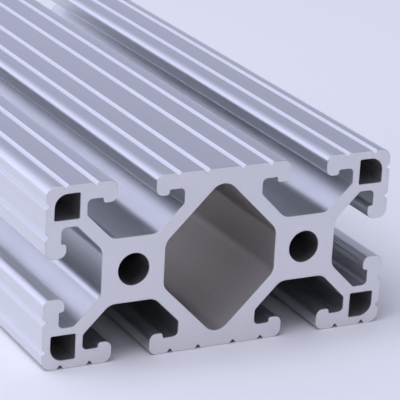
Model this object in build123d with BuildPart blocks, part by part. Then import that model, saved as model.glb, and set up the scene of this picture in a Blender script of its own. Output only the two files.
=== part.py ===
"""T-slot aluminium extrusion profile, two modules wide and one high.

The bar is one piece: hot aluminium pushed through a die, anodised, and sawn to length.
It lies flat with its wide side down, its length along Y and its section in X and Z.
The origin is the middle of the underside, and all sizes are in millimetres.
"""

import os
from math import sqrt

from build123d import *

# Overall sizes
module = 38.1  # pitch of the T-slots, and the height of the bar
module_count = 2  # modules side by side across the width
length = 150.0  # sawn length of the bar
corner_radius = 2.2  # outer corners of the section

# Core of each module: a bored boss held by diagonal webs
bore_diameter = 6.7  # core hole, the tapping size for an end bolt
floor_height = 6.9  # from the bore's axis to the floor of a slot
web_thickness = 2.9  # each diagonal web, centred on a line through the bore's axis

# One T-slot: a narrow mouth between two lips, and a wide pocket behind them
mouth_width = 8.3  # clear gap between the two lips
lip_thickness = 3.4  # from the outer face to the inner face of a lip
lip_end_radius = 1.7  # rounding from the outer face into the mouth
pocket_wall_height = 3.2  # upright wall of the pocket, between the lip and the web
pocket_corner_radius = 1.0  # inside corner of the pocket, behind the lip
pocket_heel_radius = 0.9  # where the pocket wall turns into the diagonal web
floor_corner_radius = 2.8  # where the slot floor turns into the diagonal web

# Bead along the end of each lip
bead_rise = 1.1  # how far the bead stands in from the lip
bead_share = 0.47  # of the lip's reach, taken by the bead
bead_nose_share = 0.52  # of the bead's width, rounded on the mouth side
bead_heel_share = 0.55  # of the bead's rise, rounded on the pocket side
bead_foot_share = 0.27  # of the bead's rise, the inside corner where it meets the lip

# Six-sided cavity between two modules
cavity_reach = 6.7  # from the bore's axis to the upright side of the cavity
cavity_peak_radius = 3.3  # rounding at the top and bottom of the cavity
cavity_side_radius = 3.0  # rounding beside the upright sides

# Hollow cell in each outer corner
cell_outer_wall = 1.8  # from the outer faces to the cell
cell_inner_wall = 1.55  # from the cell to the pockets beside it
cell_outer_radius = 2.7  # the cell's corner under the outer corner of the bar
cell_inner_radius = 0.3  # the cell's other corners

# Half-round grooves along the outer faces
groove_radius = 0.65
groove_from_mouth = 4.65  # from the mouth of a slot to the nearer groove
groove_from_edge = 3.95  # from the edge of a module to the outer groove

# Places that follow from the sizes above, measured from a bore's axis
width = module * module_count
face = module / 2
web_offset = web_thickness / 2 * sqrt(2)  # the web's side, measured along an axis
lip_inner = face - lip_thickness
mouth_edge = mouth_width / 2
pocket_edge = lip_inner - pocket_wall_height - web_offset
bead_width = (pocket_edge - mouth_edge) * bead_share
bead_edge = mouth_edge + bead_width
bead_top = lip_inner - bead_rise
cavity_edge = face - cavity_reach
cavity_peak = face - web_offset
cell_size = face - cell_outer_wall - cell_inner_wall - pocket_edge
cell_inset = cell_outer_wall + cell_size / 2
end_axis = (width - module) / 2  # the outermost bore axes, from the middle of the bar
groove_steps = (mouth_edge + groove_from_mouth, face - groove_from_edge)
groove_places = [side * step for step in groove_steps for side in (-1, 1)]

# Void of one T-slot, with its mouth towards +Y and the bore's axis at the origin
with BuildSketch() as t_slot:
    with BuildLine():
        FilletPolyline(
            (0, floor_height),
            (floor_height - web_offset, floor_height),
            (pocket_edge, pocket_edge + web_offset),
            (pocket_edge, lip_inner),
            (bead_edge, lip_inner),
            (bead_edge, bead_top),
            (mouth_edge, bead_top),
            (mouth_edge, face - lip_end_radius),
            radius=(
                floor_corner_radius,
                pocket_heel_radius,
                pocket_corner_radius,
                bead_rise * bead_foot_share,
                bead_rise * bead_heel_share,
                bead_width * bead_nose_share,
            ),
        )
        lip_end = JernArc((mouth_edge, face - lip_end_radius), (0, 1), lip_end_radius, -90)
        Polyline(lip_end @ 1, (mouth_edge + lip_end_radius, module), (0, module))
        mirror(about=Plane.YZ)
    make_face()

# Void of the cavity between two modules
with BuildSketch() as cavity:
    with BuildLine():
        FilletPolyline(
            (0, cavity_peak),
            (cavity_edge, cavity_peak - cavity_edge),
            (cavity_edge, cavity_edge - cavity_peak),
            (0, -cavity_peak),
            (-cavity_edge, cavity_edge - cavity_peak),
            (-cavity_edge, cavity_peak - cavity_edge),
            radius=(cavity_peak_radius, cavity_side_radius, cavity_side_radius) * 2,
            close=True,
        )
    make_face()

# Void of the cell in the corner towards +X and +Y
with BuildSketch() as cell:
    with Locations((width / 2 - cell_inset, face - cell_inset)):
        Rectangle(cell_size, cell_size)
    cell_corners = cell.vertices().sort_by_distance((0, 0))
    fillet(cell_corners[-1], cell_outer_radius)
    fillet(cell_corners[:-1], cell_inner_radius)

# The bar: the section with every void taken out, drawn on the middle of its length
section_plane = Plane((0, 0, face), x_dir=(1, 0, 0), z_dir=(0, -1, 0))
with BuildPart() as profile:
    with BuildSketch(section_plane) as section:
        RectangleRounded(width, module, corner_radius)
        with GridLocations(module, 0, module_count, 1):
            Circle(bore_diameter / 2, mode=Mode.SUBTRACT)
            add(t_slot.sketch, mode=Mode.SUBTRACT)
            add(t_slot.sketch, rotation=180, mode=Mode.SUBTRACT)
        with Locations((end_axis, 0)):
            add(t_slot.sketch, rotation=-90, mode=Mode.SUBTRACT)
        with Locations((-end_axis, 0)):
            add(t_slot.sketch, rotation=90, mode=Mode.SUBTRACT)
        with GridLocations(module, 0, module_count - 1, 1):
            add(cavity.sketch, mode=Mode.SUBTRACT)
        cell_pair = cell.sketch + mirror(cell.sketch, about=Plane.YZ, mode=Mode.PRIVATE)
        add(cell_pair, mode=Mode.SUBTRACT)
        add(cell_pair, rotation=180, mode=Mode.SUBTRACT)
        with GridLocations(module, module, module_count, 2):
            with Locations(*[(place, 0) for place in groove_places]):
                Circle(groove_radius, mode=Mode.SUBTRACT)
        with GridLocations(width, 0, 2, 1):
            with Locations(*[(0, place) for place in groove_places]):
                Circle(groove_radius, mode=Mode.SUBTRACT)
    extrude(amount=length / 2, both=True)

profile.part.label = "profile"
print("section area", round(section.sketch.area, 1), "mm2")

os.makedirs("parts", exist_ok=True)
export_step(profile.part, "parts/profile.step")
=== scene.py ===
# %% [markdown]
# # A short length of T-slot aluminium profile
# The real bar is one piece of metal. Hot aluminium is pushed through a steel die, which draws fine
# lines along its length. The skin is then etched and anodised to a soft satin grey, and a saw cuts the
# bar square. So there is one shape to make, a section carried along a straight line, and a few finishes
# of the same metal: the satin skin, the duller walls of the hollows, whose tones carry painted light in
# the cavity and painted shade in the bores, and the bare sawn ends with their broken rims.

from math import cos, pi, radians, sin, sqrt

import bpy
import numpy as np
from mathutils import Matrix, Vector
from mathutils.geometry import tessellate_polygon


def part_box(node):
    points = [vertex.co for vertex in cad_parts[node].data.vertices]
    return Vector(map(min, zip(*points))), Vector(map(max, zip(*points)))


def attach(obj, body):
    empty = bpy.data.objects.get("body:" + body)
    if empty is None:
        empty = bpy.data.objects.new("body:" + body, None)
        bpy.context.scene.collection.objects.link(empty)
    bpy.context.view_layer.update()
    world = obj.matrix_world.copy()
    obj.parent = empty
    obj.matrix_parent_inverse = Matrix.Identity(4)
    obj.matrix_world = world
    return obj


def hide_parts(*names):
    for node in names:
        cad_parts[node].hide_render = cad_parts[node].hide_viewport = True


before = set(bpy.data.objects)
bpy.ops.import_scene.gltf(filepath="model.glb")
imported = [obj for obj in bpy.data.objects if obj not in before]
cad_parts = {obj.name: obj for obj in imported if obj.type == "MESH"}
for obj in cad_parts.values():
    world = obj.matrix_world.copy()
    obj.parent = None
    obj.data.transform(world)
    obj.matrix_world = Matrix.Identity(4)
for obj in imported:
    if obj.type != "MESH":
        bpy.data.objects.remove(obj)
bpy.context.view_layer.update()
bar_low, bar_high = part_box("profile")
print("bar box in metres", [round(v, 4) for v in bar_high - bar_low])

# %% [markdown]
# ## What the frame gives
# The solid model fixes the outer box, so width, height and length are read from the frame and not
# typed. The section is drawn flat, with its middle at zero, and lifted to its height later. Every
# T-slot is measured from the axis of a core bore, because each module of the die is laid out round that
# axis.

# %% Measures from the frame
MM = 0.001
face = (bar_high.z - bar_low.z) / 2  # from a bore's axis to an outer face
half_width = (bar_high.x - bar_low.x) / 2
mid_height = bar_low.z + face
front_y, back_y = bar_low.y, bar_high.y
left_axis, right_axis = bar_low.x + face, bar_high.x - face
bore_gap = right_axis - left_axis
print("modules of", round(face * 2 / MM, 2), "mm with bores", round(bore_gap / MM, 2), "mm apart")

# %% [markdown]
# ## Corners into curves
# A die is drawn as straight runs with a radius at each corner. In Blender such an outline could be a
# curve, but a curve hides how many points it makes, and here the points are joined by number later. So
# the outline is kept as a die maker keeps it, as corners and radii, and one function turns all the
# corners into arcs at once, with no loop over the points.

# %% Rounded outlines
ARC_POINTS = 8


def left_turn(a, b):
    """Cross product of flat vectors, row by row: a's x times b's y, less a's y times b's x."""
    return a[:, 0] * b[:, 1] - a[:, 1] * b[:, 0]


def rounded_outline(corners, radii, arc_points=ARC_POINTS):
    """Closed outline with a tangent arc at each corner.

    With unit directions a before and b after a corner that turns by t, the arc of radius r starts
    r * tan(t / 2) before the corner, its centre lies r to the inner side of the start, and the point at
    angle p along it is centre - r * cos(p) * inner + r * sin(p) * a.
    """
    corners, radii = np.asarray(corners, float), np.asarray(radii, float)[:, None]
    before = corners - np.roll(corners, 1, axis=0)
    after = np.roll(corners, -1, axis=0) - corners
    before /= np.linalg.norm(before, axis=1, keepdims=True)
    after /= np.linalg.norm(after, axis=1, keepdims=True)
    cross = left_turn(before, after)
    turn = np.arctan2(np.abs(cross), (before * after).sum(axis=1))[:, None]
    inner = np.sign(cross)[:, None] * np.stack([-before[:, 1], before[:, 0]], axis=1)
    centre = corners - before * radii * np.tan(turn / 2) + inner * radii
    angle = (turn * np.linspace(0, 1, arc_points))[:, :, None]
    from_centre = np.sin(angle) * before[:, None] - np.cos(angle) * inner[:, None]
    return (centre[:, None] + radii[:, None] * from_centre).reshape(-1, 2)


print("each corner becomes", ARC_POINTS, "points")

# %% [markdown]
# ## One T-slot
# A T-slot is a narrow mouth between two lips, with a wide pocket behind them that holds a nut. The
# floor of the slot runs into diagonal webs, and each lip has a round end and a bead along its inner
# side. The sizes could be measured on the solid's mesh, but they are easier to read as names. They are
# those of the solid.

# %% Sizes of a slot
mouth_edge = 4.15 * MM  # half of the mouth
lip_thickness = 3.4 * MM
lip_end_radius = 1.7 * MM
floor_height = 6.9 * MM  # from the bore's axis to the slot floor
floor_corner_radius = 2.8 * MM
web_half = 1.45 * MM  # half of a diagonal web's thickness
web_offset = web_half * sqrt(2)  # a web's side, measured along an axis
pocket_wall_height = 3.2 * MM
pocket_corner_radius = 1.0 * MM
pocket_heel_radius = 0.9 * MM
lip_inner = face - lip_thickness
pocket_edge = lip_inner - pocket_wall_height - web_offset
pocket_width, mouth_width = pocket_edge * 2, mouth_edge * 2
print("pocket of", round(pocket_width / MM, 2), "mm behind a mouth of", round(mouth_width / MM, 2), "mm")

# %% Sizes of a lip's bead
bead_share = 0.47  # of the lip's reach, taken by the bead
bead_rise = 1.1 * MM
bead_foot_radius = 0.3 * MM
bead_heel_radius = 0.6 * MM
bead_nose_radius = 1.5 * MM
bead_edge = mouth_edge + (pocket_edge - mouth_edge) * bead_share
bead_top = lip_inner - bead_rise
print("bead is", round((bead_edge - mouth_edge) / MM, 2), "mm wide")

# %% [markdown]
# ## Fine grooves
# Four grooves run along each module face. They could be painted as lines, but they show as notches at
# the sawn end and catch the light along the bar, so they are cut into the outline. The solid model has
# them half-round. In the photo they shine from rim to rim, as flat flanks do, so here each one is a
# narrow V with a round bottom.

# %% Sizes of the grooves
groove_half = 0.70 * MM
groove_depth = 0.92 * MM  # to the point of the V, before its bottom is rounded
groove_bottom_radius = 0.2 * MM
groove_brow_radius = 0.05 * MM
groove_from_mouth = 4.65 * MM
groove_from_edge = 3.95 * MM
groove_steps = (mouth_edge + groove_from_mouth, face - groove_from_edge)
print("grooves at", [round(step / MM, 2) for step in groove_steps], "mm to each side of a slot's middle")

# %% [markdown]
# ## A module face from its half
# All six slots are alike, and each is its own mirror image. So only half of one is written down, as
# corners from the slot floor out round the lip and along the outer face, and the other half is that
# list turned round.

# %% Half a module face and its mirror image
def slot_side():
    """Rows of place along the face, distance from the bore's axis, and radius, for each corner in turn."""
    rows = [
        (floor_height - web_offset, floor_height, floor_corner_radius),
        (pocket_edge, pocket_edge + web_offset, pocket_heel_radius),
        (pocket_edge, lip_inner, pocket_corner_radius),
        (bead_edge, lip_inner, bead_foot_radius),
        (bead_edge, bead_top, bead_heel_radius),
        (mouth_edge, bead_top, bead_nose_radius),
        (mouth_edge, face, lip_end_radius),
    ]
    for step in groove_steps:
        rows += [
            (step - groove_half, face, groove_brow_radius),
            (step, face - groove_depth, groove_bottom_radius),
            (step + groove_half, face, groove_brow_radius),
        ]
    return np.array(rows)


half_face = slot_side()
module_face = np.vstack([half_face[::-1] * (-1, 1, 1), half_face])
print("one module face has", len(module_face), "corners")

# %% [markdown]
# ## Six faces make the outline
# The same module face is laid down six times round the section: two on top, one on the right, two below
# and one on the left. An outer corner joins a wide side to a narrow one. Going round clockwise keeps
# the metal on the right hand all the way, which later tells each edge where its metal is.

# %% Outline
corner_radius = 2.2 * MM
right, up = np.array((1.0, 0.0)), np.array((0.0, 1.0))


def laid(axis_x, along, outward):
    """The module face about a bore's axis: each place times along, plus each distance times outward."""
    places = module_face[:, :1] * along + module_face[:, 1:2] * outward + (axis_x, 0)
    return np.hstack([places, module_face[:, 2:]])


def outer_corner(side_x, side_y):
    """The row of one outer corner, with a sign for its side."""
    return np.array([(side_x * half_width, side_y * face, corner_radius)])


outline_rows = np.vstack([
    laid(left_axis, right, up), laid(right_axis, right, up), outer_corner(1, 1),
    laid(right_axis, -up, right), outer_corner(1, -1),
    laid(right_axis, -right, -up), laid(left_axis, -right, -up), outer_corner(-1, -1),
    laid(left_axis, up, -right), outer_corner(-1, 1),
])
outline = rounded_outline(outline_rows[:, :2], outline_rows[:, 2])
print("outline has", len(outline), "points")

# %% [markdown]
# ## Hollows
# The die also leaves hollows, which save metal: a six-sided cavity between the two modules, a small
# cell in each outer corner, and a round bore in each core, ready for an end screw. They could be cut
# with booleans, but a loop of points for each one keeps the mesh clean. They go round the other way, so
# metal is on their right too.

# %% Cavity between the modules
CAVITY_ARC_POINTS = 12
cavity_reach = 6.7 * MM  # from a bore's axis to the upright side of the cavity
cavity_peak_radius = 3.3 * MM
cavity_side_radius = 3.0 * MM
cavity_edge = face - cavity_reach
cavity_peak = face - web_offset
cavity_turn = cavity_peak - cavity_edge
cavity = rounded_outline(
    [(0, cavity_peak), (-cavity_edge, cavity_turn), (-cavity_edge, -cavity_turn),
     (0, -cavity_peak), (cavity_edge, -cavity_turn), (cavity_edge, cavity_turn)],
    [cavity_peak_radius, cavity_side_radius, cavity_side_radius] * 2, CAVITY_ARC_POINTS)
print("cavity is", round(cavity_edge * 2 / MM, 2), "mm wide")

# %% Cells in the outer corners
CELL_ARC_POINTS = 10
cell_outer_wall = 1.8 * MM
cell_inner_wall = 1.55 * MM
cell_outer_radius = 2.7 * MM
cell_inner_radius = 0.3 * MM
cell_far = face - cell_outer_wall
cell_near = pocket_edge + cell_inner_wall
cell = rounded_outline(
    [(right_axis + cell_far, cell_far), (right_axis + cell_near, cell_far),
     (right_axis + cell_near, cell_near), (right_axis + cell_far, cell_near)],
    [cell_outer_radius, cell_inner_radius, cell_inner_radius, cell_inner_radius], CELL_ARC_POINTS)
cells = [cell, cell[::-1] * (-1, 1), cell * (-1, -1), cell[::-1] * (1, -1)]
print("cells are", round((cell_far - cell_near) / MM, 2), "mm wide")

# %% Core bores
BORE_POINTS = 72
bore_radius = 3.35 * MM
bore_angle = np.linspace(0, 2 * pi, BORE_POINTS, endpoint=False)
bore = bore_radius * np.stack([np.cos(bore_angle), np.sin(bore_angle)], axis=1)
bores = [bore + (axis_x, 0) for axis_x in (left_axis, right_axis)]
print("bores are", round(bore_radius * 2 / MM, 2), "mm wide")

# %% [markdown]
# ## From section to bar
# An extrusion is its section carried along a straight line. Blender could extrude a filled curve, but a
# broken rim and several finishes are then hard to place. Here each loop is set at four stations along
# the bar. The first and last are moved a hair into the metal, which breaks the sharp rim as a deburring
# tool does, and each strip of faces between two stations knows which finish it wears.

# %% Sweep the section
SKIN, CAVITY, CELL, BORE, RIM, SAWN = range(6)
rim_width = 0.08 * MM
stations = (
    (front_y, rim_width),
    (front_y + rim_width, 0),
    (back_y - rim_width, 0),
    (back_y, rim_width),
)


def into_metal(loop):
    """Unit direction into the metal at each point: the line between its two neighbours, turned right."""
    edge = np.roll(loop, -1, axis=0) - np.roll(loop, 1, axis=0)
    edge /= np.linalg.norm(edge, axis=1, keepdims=True)
    return np.stack([edge[:, 1], -edge[:, 0]], axis=1)


def swept(loop, wall, start):
    """Points of one loop at all stations, quads between the stations, and the finish of each quad.

    Point i of station k has the number start + k * count + i. A quad joins points i and i + 1 of one
    station to points i + 1 and i of the next.
    """
    inward = into_metal(loop)
    rings = [np.insert(loop + inward * inset, 1, y, axis=1) for y, inset in stations]
    count = len(loop)
    here = np.arange(count)
    ahead = np.roll(here, -1)
    ring_starts = start + np.arange(len(stations) - 1) * count
    ring = np.stack([here, ahead, ahead + count, here + count], axis=1)
    strips = np.concatenate([ring + ring_start for ring_start in ring_starts])
    places = np.concatenate(rings) + (0, 0, mid_height)
    return places, strips, np.repeat([RIM, wall, RIM], count)


loops = [outline, cavity, *cells, *bores]
loop_walls = [SKIN, CAVITY] + [CELL] * len(cells) + [BORE] * len(bores)
loop_starts = np.cumsum([0] + [len(loop) * len(stations) for loop in loops[:-1]])
points, quads, quad_walls = map(np.concatenate, zip(*map(swept, loops, loop_walls, loop_starts)))
print("swept", len(points), "points and", len(quads), "quads")

# %% [markdown]
# ## Fill the sawn ends
# A sawn end is flat metal between the outline and the hollows. One large face with holes isn't possible
# in a mesh, so Blender's own polygon filler cuts it into triangles between the same points. They are
# turned to face forward at the front, and the same triangles, turned over, fill the back.

# %% Fill the sawn ends
rim_loops = [loop + into_metal(loop) * rim_width for loop in loops]
flat_rim = np.concatenate(rim_loops)
triangles = np.array(tessellate_polygon([[(x, z, 0) for x, z in loop] for loop in rim_loops]))
a, b, c = (flat_rim[triangles[:, k]] for k in range(3))
areas = left_turn(b - a, c - a) / 2
triangles[areas < 0] = triangles[areas < 0][:, ::-1]


def ring_numbers(station):
    """Point numbers of all loops at one station, in the order of the loops."""
    return np.concatenate([
        start + station * len(loop) + np.arange(len(loop)) for start, loop in zip(loop_starts, loops)])


last_station = len(stations) - 1
caps = np.concatenate([ring_numbers(0)[triangles], ring_numbers(last_station)[triangles][:, ::-1]])
metal_area = np.abs(areas).sum() / MM**2
print("each sawn end is", round(metal_area, 1), "mm2 of metal in", len(triangles), "triangles")

# %% [markdown]
# ## One mesh for one piece of metal
# The bar is one piece, so it is one mesh, and its finishes are material slots. Smooth shading rounds
# the arcs, and edges that turn by more than an arc's step are marked sharp, so flats stay flat.

# %% Put the bar into a mesh
crease_angle = radians(28)
bar_mesh = bpy.data.meshes.new("extruded_bar")
bar_mesh.from_pydata(points.tolist(), [], quads.tolist() + caps.tolist())
face_walls = np.concatenate([quad_walls, np.full(len(caps), SAWN)]).astype(np.int32)
bar_mesh.polygons.foreach_set("material_index", face_walls)
bar_mesh.shade_smooth()
bar_mesh.set_sharp_from_angle(angle=crease_angle)
bar_mesh.validate()
bar = bpy.data.objects.new("extruded_bar", bar_mesh)
bpy.context.scene.collection.objects.link(bar)
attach(bar, "root")
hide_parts("profile")
print("bar mesh:", len(bar_mesh.polygons), "faces")

# %% [markdown]
# ## One shared effect: mottle
# Die lines, etched grain and faint smudges are all noise, seen at different sizes. Each material could
# have its own noise nodes, but one node group is easier to read and to change. It gives noise in the
# object's own metres, and each material sets the size of a patch along X, Y and Z: a die line is a
# patch that is a fraction of a millimetre wide and as long as a hand.

# %% Node helpers
def fill(tree, node, inputs):
    """Link each input that is given a socket, and set each one that is given a plain value."""
    for name, value in inputs.items():
        if isinstance(value, bpy.types.NodeSocket):
            tree.links.new(value, node.inputs[name])
        else:
            node.inputs[name].default_value = value


def put(tree, kind, inputs=None, **settings):
    """A new node with these settings and inputs."""
    node = tree.nodes.new(kind)
    for name, value in settings.items():
        setattr(node, name, value)
    fill(tree, node, inputs or {})
    return node


# %% The mottle group
noise_low, noise_high = 0.3, 0.7  # nearly all of the noise lies between these
mottle_tree = bpy.data.node_groups.new("metal_mottle", "ShaderNodeTree")
mottle_tree.interface.new_socket("Patch", in_out="INPUT", socket_type="NodeSocketVector")
mottle_tree.interface.new_socket("Low", in_out="INPUT", socket_type="NodeSocketFloat")
mottle_tree.interface.new_socket("High", in_out="INPUT", socket_type="NodeSocketFloat")
mottle_tree.interface.new_socket("Mottle", in_out="OUTPUT", socket_type="NodeSocketFloat")
asked = put(mottle_tree, "NodeGroupInput").outputs
place = put(mottle_tree, "ShaderNodeTexCoord").outputs["Object"]
patches = put(mottle_tree, "ShaderNodeVectorMath", {0: place, 1: asked["Patch"]}, operation="DIVIDE")
noise = put(mottle_tree, "ShaderNodeTexNoise",
            {"Vector": patches.outputs["Vector"], "Scale": 1.0, "Detail": 3.0, "Roughness": 0.55})
spread = put(mottle_tree, "ShaderNodeMapRange",
             {"Value": noise.outputs["Fac"], "From Min": noise_low, "From Max": noise_high,
              "To Min": asked["Low"], "To Max": asked["High"]})
put(mottle_tree, "NodeGroupOutput", {"Mottle": spread.outputs["Result"]})


def mottle(tree, patch, low, high):
    """The mottle group in a material, with patches of this size in metres and values from low to high."""
    node = put(tree, "ShaderNodeGroup", {"Patch": patch, "Low": low, "High": high}, node_tree=mottle_tree)
    return node.outputs["Mottle"]


print("node group", mottle_tree.name, "has", len(mottle_tree.nodes), "nodes")

# %% [markdown]
# ## The anodised skin
# Etching before anodising leaves a soft, even satin, so the shader is a metal of middling roughness.
# Flat grey would look like paint, so die lines run along the bar, a fine grain breaks the shine, and
# handling leaves wide faint smudges in the roughness. The lines and the grain also feed a very low
# bump.

# %% Helpers for a finish
def reckoned(tree, operation, *terms):
    """The result of a math node, whose terms are sockets or numbers."""
    return put(tree, "ShaderNodeMath", dict(enumerate(terms)), operation=operation).outputs[0]


def tinted(tree, factor, first, second):
    """A colour that goes from the first to the second with a factor."""
    mix = put(tree, "ShaderNodeMix", {"Factor": factor, "A": first, "B": second}, data_type="RGBA")
    return mix.outputs["Result"]


def finish(name):
    """A new material, its node tree and its Principled shader."""
    material = bpy.data.materials.new(name)
    material.use_nodes = True
    return material, material.node_tree, material.node_tree.nodes["Principled BSDF"]


# %% Anodised skin
skin_dark, skin_light = (0.69, 0.70, 0.71, 1), (0.75, 0.76, 0.77, 1)
skin_roughness = 0.33
skin_line = (0.45 * MM, 90 * MM, 0.45 * MM)
skin_grain = (0.16 * MM, 0.22 * MM, 0.16 * MM)
smudge, smudge_low, smudge_high = (14 * MM, 26 * MM, 14 * MM), -0.03, 0.04
skin_bump_strength, skin_bump_depth = 0.14, 0.02 * MM

skin, tree, shader = finish("satin_anodised_skin")
marks = reckoned(tree, "ADD", mottle(tree, skin_line, 0, 1), mottle(tree, skin_grain, 0, 1))
skin_tone = reckoned(tree, "MULTIPLY", marks, 0.5)  # the mean of lines and grain
smudges = mottle(tree, smudge, smudge_low, smudge_high)
skin_bump = put(tree, "ShaderNodeBump",
                {"Height": marks, "Strength": skin_bump_strength, "Distance": skin_bump_depth})
fill(tree, shader, {
    "Base Color": tinted(tree, skin_tone, skin_dark, skin_light),
    "Roughness": reckoned(tree, "ADD", smudges, skin_roughness),
    "Normal": skin_bump.outputs["Normal"],
    "Metallic": 0.95,
})
print("made", skin.name)

# %% [markdown]
# ## Walls of the hollows
# The cavity, the cells and the bores were drawn by the same die, but they are only seen by light that
# has bounced many times inside. A single grey would come out too dark in one and too pale in another,
# so each kind of hollow has its own tone of the same drawn metal, made by one function. The cavity's
# tone is painted light, much paler than the skin, and the bores' tone is painted shade, darker than
# the skin; the cells keep about the skin's own tone.

# %% Hollow walls
wall_line = (0.5 * MM, 60 * MM, 0.5 * MM)
wall_stain, wall_smooth, wall_rough = (6 * MM, 20 * MM, 6 * MM), 0.36, 0.44


def hollow_wall(name, dark, light):
    """A dull wall inside the bar, drawn along its length like the skin. Its tones are set for the light
    that each hollow gets: painted light in the cavity, painted shade in the bores.
    """
    material, tree, shader = finish(name)
    fill(tree, shader, {
        "Base Color": tinted(tree, mottle(tree, wall_line, 0, 1), dark, light),
        "Roughness": mottle(tree, wall_stain, wall_smooth, wall_rough),
        "Metallic": 0.95,
    })
    print("made", material.name)
    return material


# Painted light: the cavity's pale tone. Painted shade: the bores' dark tone. The cells keep about the
# skin's tone.
cavity_wall = hollow_wall("cavity_wall_painted_light", (0.885, 0.855, 0.82, 1), (0.935, 0.905, 0.87, 1))
cell_wall = hollow_wall("dark_cell_wall", (0.70, 0.69, 0.68, 1), (0.78, 0.77, 0.76, 1))
bore_wall = hollow_wall("bore_wall_painted_shade", (0.48, 0.47, 0.455, 1), (0.54, 0.53, 0.515, 1))

# %% [markdown]
# ## The sawn ends
# A round saw blade sweeps across the end and leaves faint arcs. Cut as geometry they would need far too
# many faces, so they are a tone and a low bump. They are rings about the blade's axis, which lay well
# above the bar: the height is the sine of the distance from that axis, with a little waver.

# %% Sawn end
blade_axis = (-0.05, 0.0, 0.19)
across_end = (1, 0, 1)  # keeps X and Z, so that the distance is measured across the end
saw_pitch = 0.55 * MM
saw_waver, saw_drift = (3 * MM, 3 * MM, 3 * MM), 5  # patches, and how far they shift a ring, in radians
saw_grain = (0.2 * MM, 0.2 * MM, 0.2 * MM)
arc_share = 0.25  # of the arcs in the tone, next to the grain
sawn_patch, sawn_smooth, sawn_rough = (2.5 * MM, 2.5 * MM, 2.5 * MM), 0.46, 0.56
sawn_dark, sawn_light = (0.87, 0.86, 0.855, 1), (0.895, 0.885, 0.88, 1)
sawn_bump_strength, sawn_bump_depth = 0.05, 0.015 * MM

sawn, tree, shader = finish("sawn_end")
place = put(tree, "ShaderNodeTexCoord").outputs["Object"]
offset = put(tree, "ShaderNodeVectorMath", {0: place, 1: blade_axis}, operation="SUBTRACT")
flat = put(tree, "ShaderNodeVectorMath", {0: offset.outputs["Vector"], 1: across_end}, operation="MULTIPLY")
reach = put(tree, "ShaderNodeVectorMath", {0: flat.outputs["Vector"]}, operation="LENGTH")
turns = reckoned(tree, "MULTIPLY", reach.outputs["Value"], 2 * pi / saw_pitch)
arcs = reckoned(tree, "SINE", reckoned(tree, "ADD", turns, mottle(tree, saw_waver, 0, saw_drift)))
sawn_tone = reckoned(tree, "MULTIPLY_ADD", arcs, arc_share, mottle(tree, saw_grain, 0, 1))
sawn_bump = put(tree, "ShaderNodeBump",
                {"Height": sawn_tone, "Strength": sawn_bump_strength, "Distance": sawn_bump_depth})
fill(tree, shader, {
    "Base Color": tinted(tree, sawn_tone, sawn_dark, sawn_light),
    "Roughness": mottle(tree, sawn_patch, sawn_smooth, sawn_rough),
    "Normal": sawn_bump.outputs["Normal"],
    "Metallic": 0.4,
})
print("made", sawn.name)

# %% [markdown]
# ## The broken rim
# Sharp edges are broken with a deburring tool, which leaves a hair's width of scraped metal round the
# end. It is real geometry, the first and last strip of the sweep. Its finish is a little duller than
# the sawn end, so that the edge shows as a fine line.

# %% Broken rim and all finishes
rim_dark, rim_light = (0.57, 0.56, 0.54, 1), (0.67, 0.66, 0.64, 1)
rim_scrape = (0.4 * MM, 0.4 * MM, 0.4 * MM)
rim_patch, rim_smooth, rim_rough = (0.8 * MM, 0.8 * MM, 0.8 * MM), 0.42, 0.55

rim, tree, shader = finish("broken_rim")
fill(tree, shader, {
    "Base Color": tinted(tree, mottle(tree, rim_scrape, 0, 1), rim_dark, rim_light),
    "Roughness": mottle(tree, rim_patch, rim_smooth, rim_rough),
    "Metallic": 1.0,
})

for material in (skin, cavity_wall, cell_wall, bore_wall, rim, sawn):
    bar_mesh.materials.append(material)
print("bar materials:", [material.name for material in bar_mesh.materials])

# %% [markdown]
# ## Floor
# The photo is a bright product shot on a pale sheet. A curved backdrop would do as well, but the camera
# looks down far enough for one wide flat floor in the sheet's colour to fill the whole view and to keep
# the bar's shadow.

# %% Pale floor
floor_half = 3.0
floor_corners = floor_half * np.array([(-1, -1, 0), (1, -1, 0), (1, 1, 0), (-1, 1, 0)]) + (0, 0, bar_low.z)
floor_mesh = bpy.data.meshes.new("floor")
floor_mesh.from_pydata(floor_corners.tolist(), [], [(0, 1, 2, 3)])
floor = bpy.data.objects.new("floor", floor_mesh)
bpy.context.scene.collection.objects.link(floor)
sheet, tree, shader = finish("pale_sheet")
fill(tree, shader, {"Base Color": (0.835, 0.835, 0.79, 1), "Roughness": 0.8})
floor_mesh.materials.append(sheet)
print("floor is", floor_half * 2, "m wide")

# %% [markdown]
# ## The room as a light
# Satin metal shows the room around it, so the room matters more than the lamps. It is bright on the
# left, which lights the left side and the left flanks of the grooves, and falls off to the right. Low
# down at the back left it glows, and the rounded lips reflect that to the camera. Low down in front it
# is dim, which keeps the slots under the bar dark. Cards and lamps could do the same, but a sky of a
# few blended colours has no hard edges.

# %% Sky colours
sky_left, sky_right = (0.86, 0.88, 1.17, 1), (0.185, 0.195, 0.26, 1)
sky_span = 0.9  # how far left and right the sky goes on changing
back_glow, glow_heading = (0.90, 0.92, 1.22, 1), (-0.6, 0.8, 0)
glow_reach, glow_heights = (-0.2, 0.6), (0.32, 0.06)  # where the glow begins and where it is full
dim_front = (0.12, 0.125, 0.16, 1)
dim_reach, dim_heights = (-0.15, -0.75), (0.75, 0.35)  # where the dim part begins and where it is full


def fading(tree, value, start, end):
    """A mask that goes smoothly from 0, where the value is at start, to 1, where it is at end."""
    node = put(tree, "ShaderNodeMapRange", {"Value": value, "From Min": start, "From Max": end},
               interpolation_type="SMOOTHSTEP")
    return node.outputs["Result"]


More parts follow.
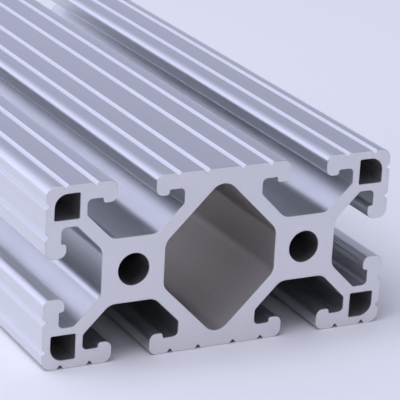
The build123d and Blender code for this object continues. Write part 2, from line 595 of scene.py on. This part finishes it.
world = bpy.data.worlds.new("studio")
bpy.context.scene.world = world
world.use_nodes = True
tree = world.node_tree
direction = put(tree, "ShaderNodeTexCoord").outputs["Generated"]
facing = put(tree, "ShaderNodeSeparateXYZ", {"Vector": direction}).outputs
side = put(tree, "ShaderNodeMapRange", {"Value": facing["X"], "From Min": -sky_span, "From Max": sky_span})
sideways = tinted(tree, side.outputs["Result"], sky_left, sky_right)
towards = put(tree, "ShaderNodeVectorMath", {0: direction, 1: glow_heading}, operation="DOT_PRODUCT")
behind = fading(tree, towards.outputs["Value"], *glow_reach)
low_behind = reckoned(tree, "MULTIPLY", fading(tree, facing["Z"], *glow_heights), behind)
glowing = tinted(tree, low_behind, sideways, back_glow)
front = fading(tree, facing["Y"], *dim_reach)
low_front = reckoned(tree, "MULTIPLY", front, fading(tree, facing["Z"], *dim_heights))
room = tinted(tree, low_front, glowing, dim_front)
fill(tree, tree.nodes["Background"], {"Color": room, "Strength": 1.0})
print("sky has", len(tree.nodes), "nodes")

# %% [markdown]
# ## Lamps
# Two soft square lamps give the shadows their direction. The main one hangs over the bar, a little to
# the left, and a faint one stands low at the back left. Small lamps would draw hard lines on the metal,
# so both are wide.

# %% Soft lamps
lamp_aim = Vector((0, 0, 0.02))


def soft_lamp(name, place, size, watts, colour):
    """A square area lamp at a place in metres, turned to the bar."""
    lamp = bpy.data.lights.new(name, "AREA")
    lamp.size, lamp.energy, lamp.color = size, watts, colour
    holder = bpy.data.objects.new(name, lamp)
    holder.location = place
    holder.rotation_euler = (lamp_aim - Vector(place)).to_track_quat("-Z", "Y").to_euler()
    bpy.context.scene.collection.objects.link(holder)
    print("lamp", name, "of", watts, "W")


soft_lamp("back_left_softbox", place=(-0.75, 1.2, 0.40), size=1.0, watts=1.0, colour=(0.94, 0.96, 1.25))
soft_lamp("top_softbox", place=(-0.46, -0.08, 1.25), size=1.1, watts=9.4, colour=(0.95, 0.96, 1.22))

# %% [markdown]
# ## Camera
# The camera was worked out from the photo: the sawn end is a flat figure of known shape, and the
# grooves are parallel lines, so together they give the lens, the angle and the distance. It looks at a
# point near the middle of the sawn end, from the front left and above, and leans a few degrees.

# %% Camera at the photo's angle
camera_azimuth, camera_elevation, camera_roll = radians(27.82), radians(19.57), radians(3.16)
camera_distance = 0.4416
lens_over_width = 5.627
aim_left, aim_above_middle = 5.3 * MM, 12.8 * MM

aim = Vector((-aim_left, front_y, mid_height + aim_above_middle))
level_reach = cos(camera_elevation)
forward = Vector((
    sin(camera_azimuth) * level_reach, cos(camera_azimuth) * level_reach, -sin(camera_elevation)))
level = forward.cross(Vector((0, 0, 1))).normalized()
lean = Matrix.Rotation(-camera_roll, 3, forward)
turned = Matrix((lean @ level, lean @ level.cross(forward), -forward)).transposed()
camera_data = bpy.data.cameras.new("camera")
camera_data.sensor_fit = "HORIZONTAL"
camera_data.lens = lens_over_width * camera_data.sensor_width
camera = bpy.data.objects.new("camera", camera_data)
camera.matrix_world = Matrix.Translation(aim - forward * camera_distance) @ turned.to_4x4()
bpy.context.scene.collection.objects.link(camera)
bpy.context.scene.camera = camera
bpy.context.scene.view_settings.view_transform = "Standard"
print("camera at", [round(v, 4) for v in camera.location])
